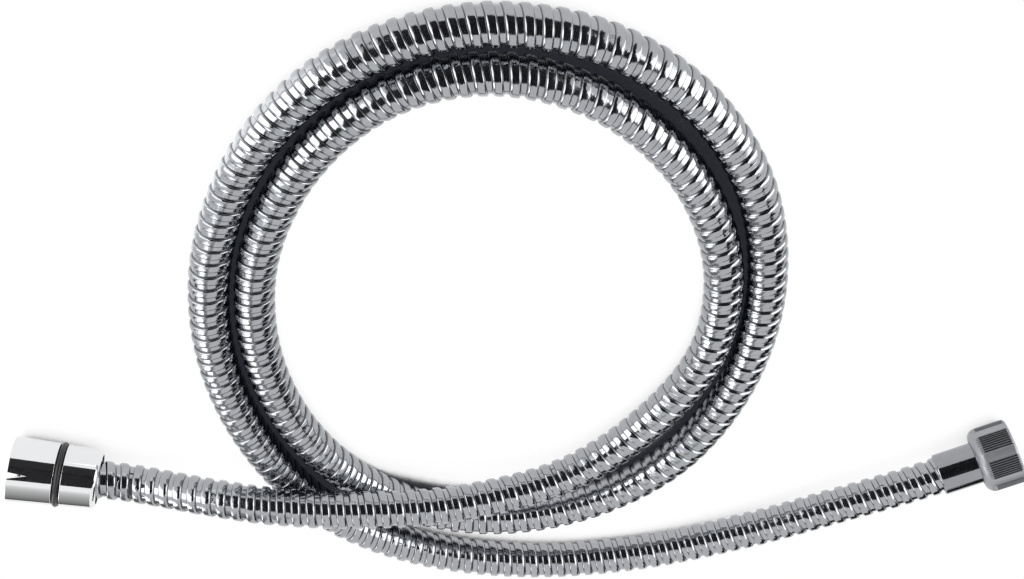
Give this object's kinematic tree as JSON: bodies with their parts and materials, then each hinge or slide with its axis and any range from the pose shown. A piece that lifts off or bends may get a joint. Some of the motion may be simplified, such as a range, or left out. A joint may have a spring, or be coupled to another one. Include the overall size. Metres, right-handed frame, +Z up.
{
  "type": "shower hose",
  "caption": "Flexible metal shower hose lying in a double loop, with a swivelling conical nut at one end and a knurled nut at the other.",
  "frame": {"origin": "midway between the two end fittings, on the surface that the hose lies on", "axes": "+Z up from the surface, +X from the cone nut towards the knurled nut, +Y across the surface towards the far side of the loop"},
  "size_m": [0.3809, 0.2507, 0.0291],
  "materials": {
    "chrome": "bright polished chrome plate",
    "polished_steel": "polished stainless steel",
    "brass": "turned brass",
    "rubber": "moulded black rubber",
    "inner_rubber": "extruded dark grey rubber"
  },
  "bodies": {
    "hose": {"hose_conduit": "polished_steel", "inner_tube": "inner_rubber", "cone_end_ferrule": "polished_steel", "cone_end_insert": "brass", "tap_end_ferrule": "chrome", "tap_end_insert": "brass"},
    "hand_shower_nut": {"cone_nut": "chrome", "cone_nut_ring": "rubber", "cone_end_washer": "rubber"},
    "tap_nut": {"knurled_nut": "chrome", "tap_end_washer": "rubber"}
  },
  "joints": [
    {"name": "cone_nut_spin", "type": "hinge", "parent": "hose", "child": "hand_shower_nut", "pos_m": [-0.1767, -0.0022, 0.0119], "axis": [-0.9799, 0.1994, 0], "continuous": true},
    {"name": "knurled_nut_spin", "type": "hinge", "parent": "hose", "child": "tap_nut", "pos_m": [0.177, 0.0015, 0.0123], "axis": [0.8949, 0.4462, 0], "continuous": true}
  ]
}
